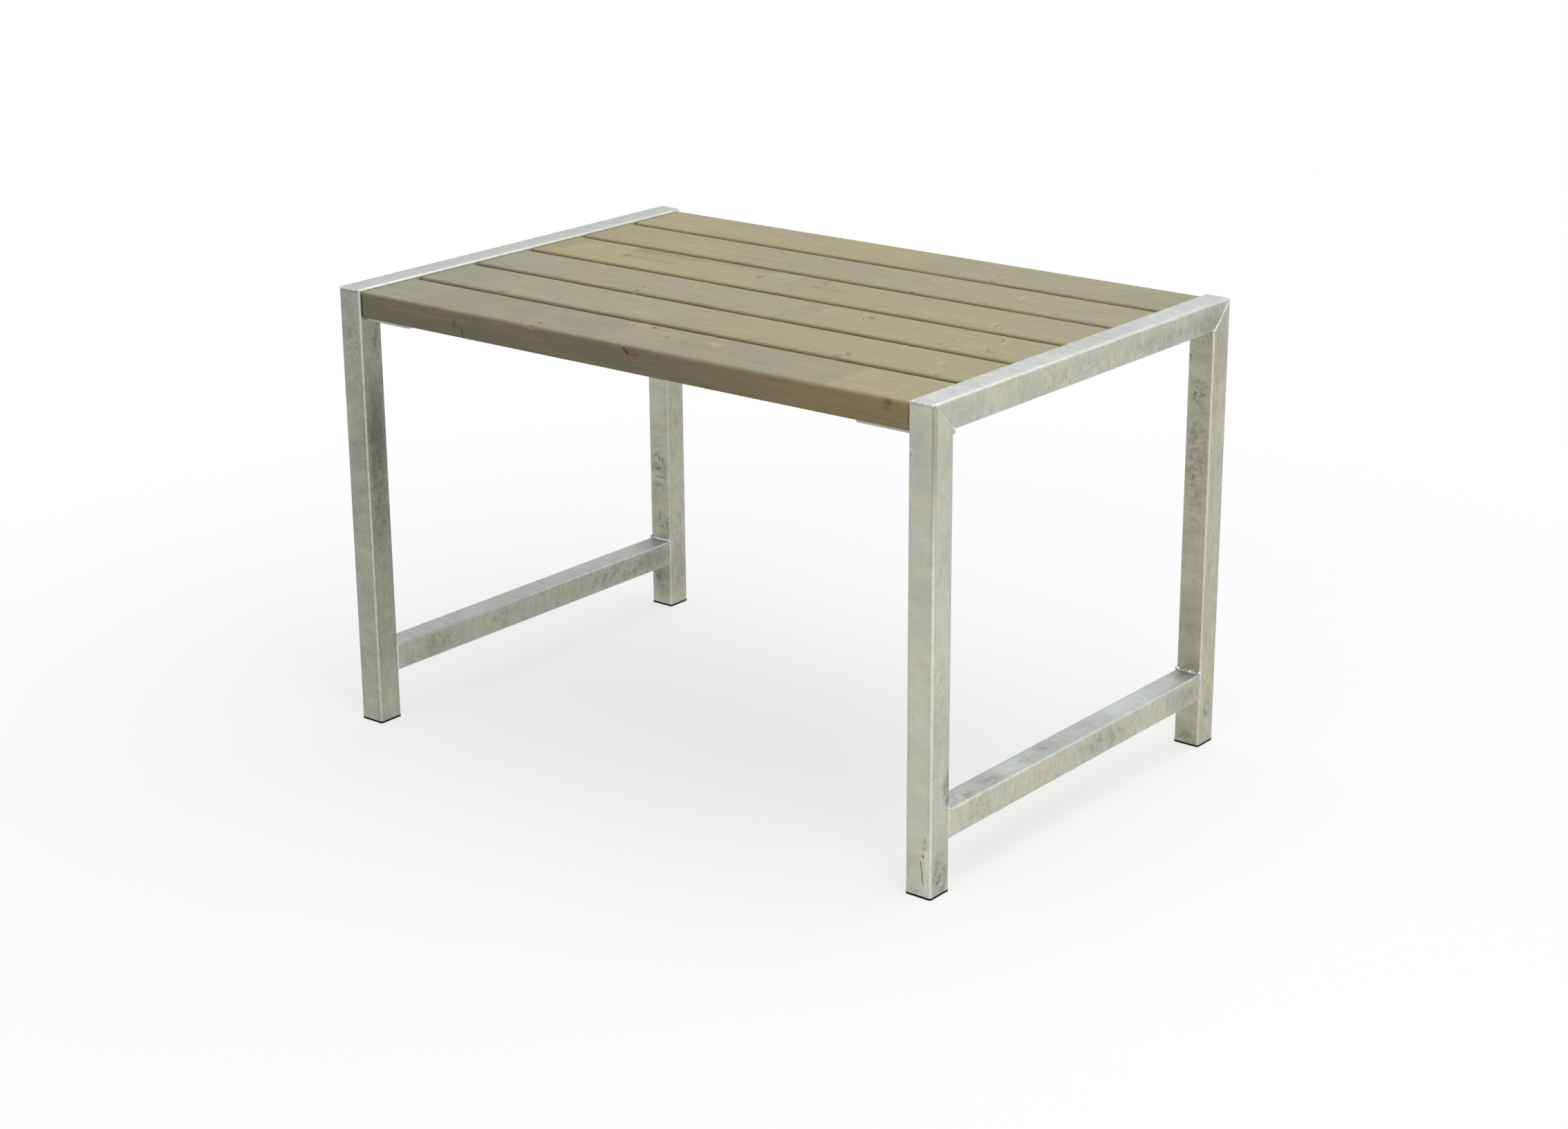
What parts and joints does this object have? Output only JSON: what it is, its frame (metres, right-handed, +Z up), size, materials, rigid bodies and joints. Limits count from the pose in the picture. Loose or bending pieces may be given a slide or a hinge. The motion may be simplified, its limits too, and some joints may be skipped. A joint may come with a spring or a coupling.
{
  "type": "potting bench",
  "caption": "Free-standing outdoor plank table: thick softwood planks between two square-tube end frames of galvanised steel, each with a low cross rail and plastic feet.",
  "frame": {"origin": "on the ground under the middle of the table", "axes": "+X along the planks to the right, +Y to the rear, +Z up; the planks run from end frame to end frame and plank_1 is the front one"},
  "size_m": [1.1608, 0.7768, 0.732],
  "materials": {
    "galvanised_steel": "hot-dip galvanised, matte and mottled, with rough weld beads",
    "stained_softwood": "planed softwood with a thin olive-grey stain, grain and small knots showing",
    "screw_steel": "plain zinc plate",
    "black_plastic": "moulded, matte"
  },
  "bodies": {
    "root": {"left_front_leg": "galvanised_steel", "left_rear_leg": "galvanised_steel", "left_top_rail": "galvanised_steel", "left_lower_rail": "galvanised_steel", "left_plank_support": "galvanised_steel", "right_front_leg": "galvanised_steel", "right_rear_leg": "galvanised_steel", "right_top_rail": "galvanised_steel", "right_lower_rail": "galvanised_steel", "right_plank_support": "galvanised_steel", "plank_1": "stained_softwood", "plank_2": "stained_softwood", "plank_3": "stained_softwood", "plank_4": "stained_softwood", "plank_5": "stained_softwood", "plank_6": "stained_softwood", "left_plank_screws": "screw_steel", "right_plank_screws": "screw_steel", "left_front_foot_plug": "black_plastic", "left_rear_foot_plug": "black_plastic", "right_front_foot_plug": "black_plastic", "right_rear_foot_plug": "black_plastic"}
  },
  "joints": []
}
